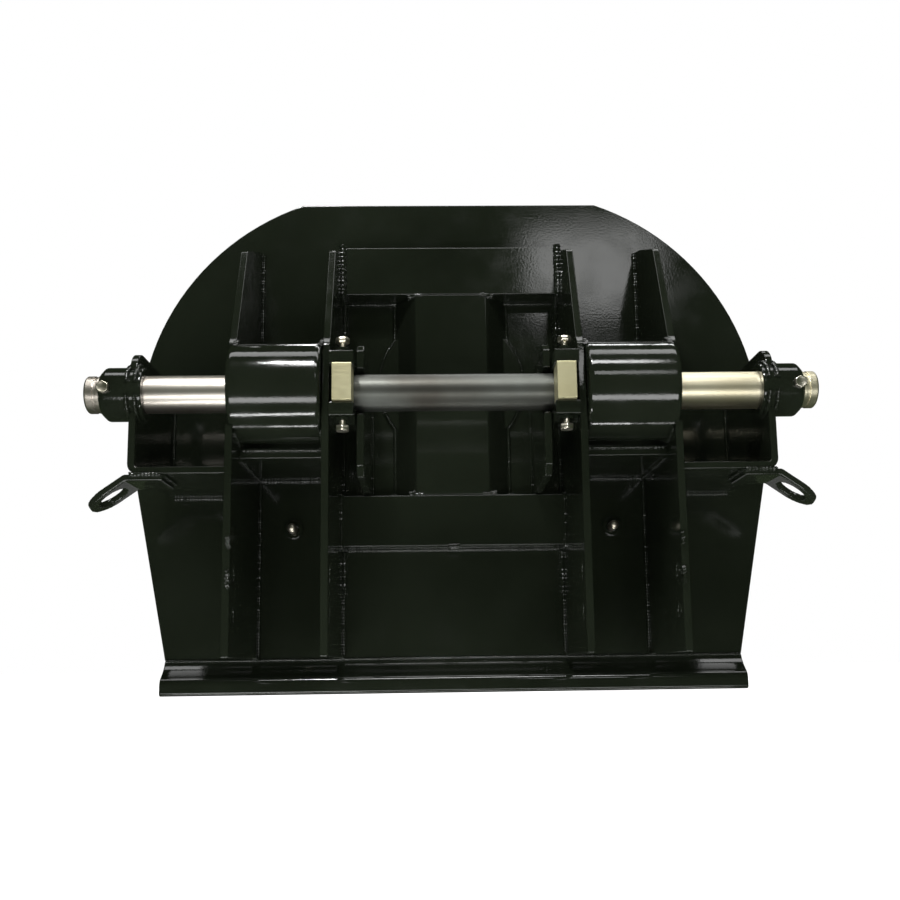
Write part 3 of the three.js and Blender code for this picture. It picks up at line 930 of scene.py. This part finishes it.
def heavy_paths(s):
    x = s * (INNER_IN - 2)
    paths = [run((x, BAR_FRONT + 3, 268), (x, BAR_FRONT + 3, 192), (x, 6, 186), (x, 4, 74)),
             run((x, 5, -118), (x, 5, -190)), run((x, 3, -200), (x, 3, -262))]
    for z in (LOWER[1] + 2, UPPER[0] - 2):
        paths.append(tack(s * (STEM_HALF + 3), BAR_FRONT - 6, z))
        paths.append(tack(s * (STEM_FOOT + 3), 4, z))
    for z in RIB_TACKS_Z:
        paths.append(tack(s * (OUTER_OUT - 8), 222, z, 2))
    return paths


centre_tack = [run((-8, BAR_FRONT - 2, LOWER[0] - 1), (8, BAR_FRONT - 2, LOWER[0] - 1))]
lay_beads("heavy_welds", heavy_paths(-1) + heavy_paths(1) + centre_tack, 5.4, 6.4, 30000.0, 23)

# %% [markdown]
# The housings are welded to the ribs only where a rib stands behind them, so each ring weld
# leaves out the front part. The shelves under the housings are welded to ribs and plate.

# %% Housing and shelf welds
SHELF_TOP, SHELF_UNDER = -78, -88


def housing_paths(s):
    paths = [ring_path(s * x, 69.5, 58, 302) for x in (INNER_OUT + 1.5, OUTER_IN - 1)]
    for z in (SHELF_TOP + 1, SHELF_UNDER - 1):
        for x in (INNER_OUT + 1, OUTER_IN - 1):
            paths.append(run((s * x, 2, z), (s * x, 168, z)))
        paths.append(run((s * (INNER_OUT + 2), 1, z), (s * (OUTER_IN - 2), 1, z)))
    paths.append(run((s * (INNER_OUT + 4), 170, SHELF_TOP + 1), (s * (OUTER_IN - 4), 170, SHELF_TOP + 1)))
    return paths


lay_beads("housing_welds", housing_paths(-1) + housing_paths(1), 3.4, 5.0, 9000.0, 5)

# %% Bracket, boss and eye welds
BEND_IN, EAR_IN, EAR_OUT = 420, 424.5, 434
FLOOR_TOP, FLOOR_UNDER = -104, -113.5


def bracket_paths(s):
    paths = [run((s * (OUTER_OUT + 1), 2, z), (s * (OUTER_OUT + 1), 198, z))
             for z in (FLOOR_TOP + 1, FLOOR_UNDER - 1)]
    for z in (FLOOR_TOP + 1, FLOOR_UNDER - 1):
        paths.append(run((s * (OUTER_OUT + 2), 1, z), (s * BEND_IN, 1, z)))
    for x in (EAR_IN - 1, EAR_OUT + 1):
        paths.append(run((s * x, 1, FLOOR_TOP + 8), (s * x, 1, 55)))
    for x in (EAR_IN - 1, EAR_OUT + 1):
        paths.append(ring_path(s * x, 38, 15, 345))
    tail_under = FLOOR_UNDER - 1
    paths.append(run((s * 389, 131, tail_under), (s * 432, 131, tail_under)))
    paths.append(run((s * 386, 134, tail_under), (s * 386, 197, tail_under)))
    paths.append(run((s * 389, 201, tail_under), (s * 430, 201, tail_under)))
    return paths


lay_beads("bracket_welds", bracket_paths(-1) + bracket_paths(1), 3.0, 4.6, 9000.0, 13)

# %% Saddle, gusset and lip welds
SADDLE_BACK, SADDLE_FRONT, SADDLE_HALF = 140, 206, 44
GUSSET_IN, GUSSET_OUT = 122, 132


def saddle_paths(s):
    x = s * (INNER_IN - 1)
    paths = [run((x, SADDLE_BACK, z), (x, SADDLE_FRONT, z)) for z in (SADDLE_HALF + 1, -SADDLE_HALF - 1)]
    for gx in (GUSSET_IN - 1, GUSSET_OUT + 1):
        paths.append(run((s * gx, 1, LOWER[1] + 4), (s * gx, 1, 64)))
    return paths


lip_seam = [run((-427, 1.5, -358), (427, 1.5, -358))]
lay_beads("saddle_welds", saddle_paths(-1) + saddle_paths(1) + lip_seam, 2.6, 4.2, 9000.0, 17)

# %% [markdown]
# ## Camera
# The camera stands low in front of the coupler, a little left of its middle, and looks slightly
# up. Its film is shifted a little, as when a wide view is cropped.

# %% Camera
CAMERA_AT = Vector((-0.0284, -1.543, -0.3718))
LENS = 40.77
FILM_SHIFT = (-0.0088, 0.0754)
PITCH_UP, YAW, ROLL = math.radians(8.34), math.radians(-1.34), math.radians(-0.8)


def camera_axes():
    yaw = Matrix(((math.cos(YAW), math.sin(YAW), 0), (-math.sin(YAW), math.cos(YAW), 0), (0, 0, 1)))
    pitch = Matrix(((1, 0, 0), (0, math.cos(PITCH_UP), math.sin(PITCH_UP)),
                    (0, -math.sin(PITCH_UP), math.cos(PITCH_UP))))
    roll = Matrix(((math.cos(ROLL), 0, math.sin(ROLL)), (0, 1, 0), (-math.sin(ROLL), 0, math.cos(ROLL))))
    right, ahead, up = roll @ pitch @ yaw
    return Matrix((right, up, -ahead)).transposed()


camera = bpy.data.objects.new("camera", bpy.data.cameras.new("camera"))
bpy.context.scene.collection.objects.link(camera)
camera.data.lens = LENS
camera.data.sensor_width = 36
camera.data.shift_x, camera.data.shift_y = FILM_SHIFT
camera.matrix_world = Matrix.Translation(CAMERA_AT) @ camera_axes().to_4x4()
bpy.context.scene.camera = camera
print("camera at", tuple(round(v, 3) for v in camera.location))

# %% [markdown]
# ## Floor, surroundings and light
# The floor is pale and the backdrop is white. Gloss black paint only shows what it mirrors, so
# the surroundings that it mirrors are kept dark, with a few soft lights. One high on the right
# leaves a soft patch on the plate, three overhead draw the upper edges, a small bright one makes
# the weld beads sparkle, and three low ones draw
# the lip, the pins and the undersides of the housings. The floor casts no shadow, so the low
# lights shine through it.

# %% Floor and world
def pale_floor():
    material, tree, shader, place = new_finish("pale_floor")
    cloudy = grain(tree, place, 2, detail=3)
    tree.links.new(tint(tree, cloudy, [(0.3, (0.86, 0.86, 0.85)), (0.7, (0.90, 0.90, 0.90))]),
                   shader.inputs["Base Color"])
    shader.inputs["Roughness"].default_value = 0.9
    shader.inputs["Emission Color"].default_value = (1, 1, 1, 1)
    shader.inputs["Emission Strength"].default_value = 1.0
    mesh = bpy.data.meshes.new("floor")
    half = 30
    z = CAD_LOW.z - 0.5 * MM
    corners = [(-half, -half, z), (half, -half, z), (half, half, z), (-half, half, z)]
    mesh.from_pydata(corners, [], [(0, 1, 2, 3)])
    floor = bpy.data.objects.new("floor", mesh)
    mesh.materials.append(material)
    bpy.context.scene.collection.objects.link(floor)
    floor.visible_glossy = False
    floor.visible_shadow = False


def surroundings(mirrored):
    """White where the camera looks past the object, dark in reflections."""
    world = bpy.data.worlds.new("studio")
    bpy.context.scene.world = world
    world.use_nodes = True
    tree = world.node_tree
    tree.nodes.clear()
    seen = tree.nodes.new("ShaderNodeBackground")
    seen.inputs["Color"].default_value = (1, 1, 1, 1)
    dark = tree.nodes.new("ShaderNodeBackground")
    dark.inputs["Color"].default_value = (*mirrored, 1)
    path = tree.nodes.new("ShaderNodeLightPath")
    mix = tree.nodes.new("ShaderNodeMixShader")
    out = tree.nodes.new("ShaderNodeOutputWorld")
    tree.links.new(path.outputs["Is Camera Ray"], mix.inputs["Fac"])
    tree.links.new(dark.outputs["Background"], mix.inputs[1])
    tree.links.new(seen.outputs["Background"], mix.inputs[2])
    tree.links.new(mix.outputs["Shader"], out.inputs["Surface"])


pale_floor()
surroundings((0.027, 0.037, 0.019))
bpy.context.scene.view_settings.view_transform = "Standard"


# %% Lights
def softbox(name, place, target, size, power, colour=(1, 1, 1)):
    light = bpy.data.lights.new(name, "AREA")
    light.shape = "RECTANGLE"
    light.size, light.size_y = size
    light.energy = power
    light.color = colour
    lamp = bpy.data.objects.new(name, light)
    lamp.location = place
    lamp.rotation_euler = (Vector(target) - Vector(place)).to_track_quat("-Z", "Y").to_euler()
    lamp.visible_camera = False
    bpy.context.scene.collection.objects.link(lamp)


softbox("high_right", (0.72, -3.0, 1.45), (0.2, 0, 0.25), (0.6, 0.4), 3.0)
softbox("overhead", (0, -0.35, 1.9), (0, -0.1, 0), (2.4, 0.5), 14)
softbox("front_high", (0.1, -1.4, 1.65), (0, -0.1, 0), (1.2, 0.25), 15)
softbox("sparkle", (-0.45, -1.3, 1.8), (-0.1, -0.1, 0), (0.16, 0.16), 26)
softbox("back_high", (0.3, 0.5, 1.4), (0.3, -0.19, 0), (1.2, 0.12), 5)
softbox("front_low", (0, -1.75, -0.85), (0, -0.15, 0), (1.9, 0.34), 14)
softbox("under_lip", (0, -0.16, -0.90), (0, -0.05, -0.4), (1.1, 0.05), 2.4)
softbox("low_left", (-0.38, -0.62, -0.78), (-0.3, -0.19, 0), (0.40, 0.06), 1.6)
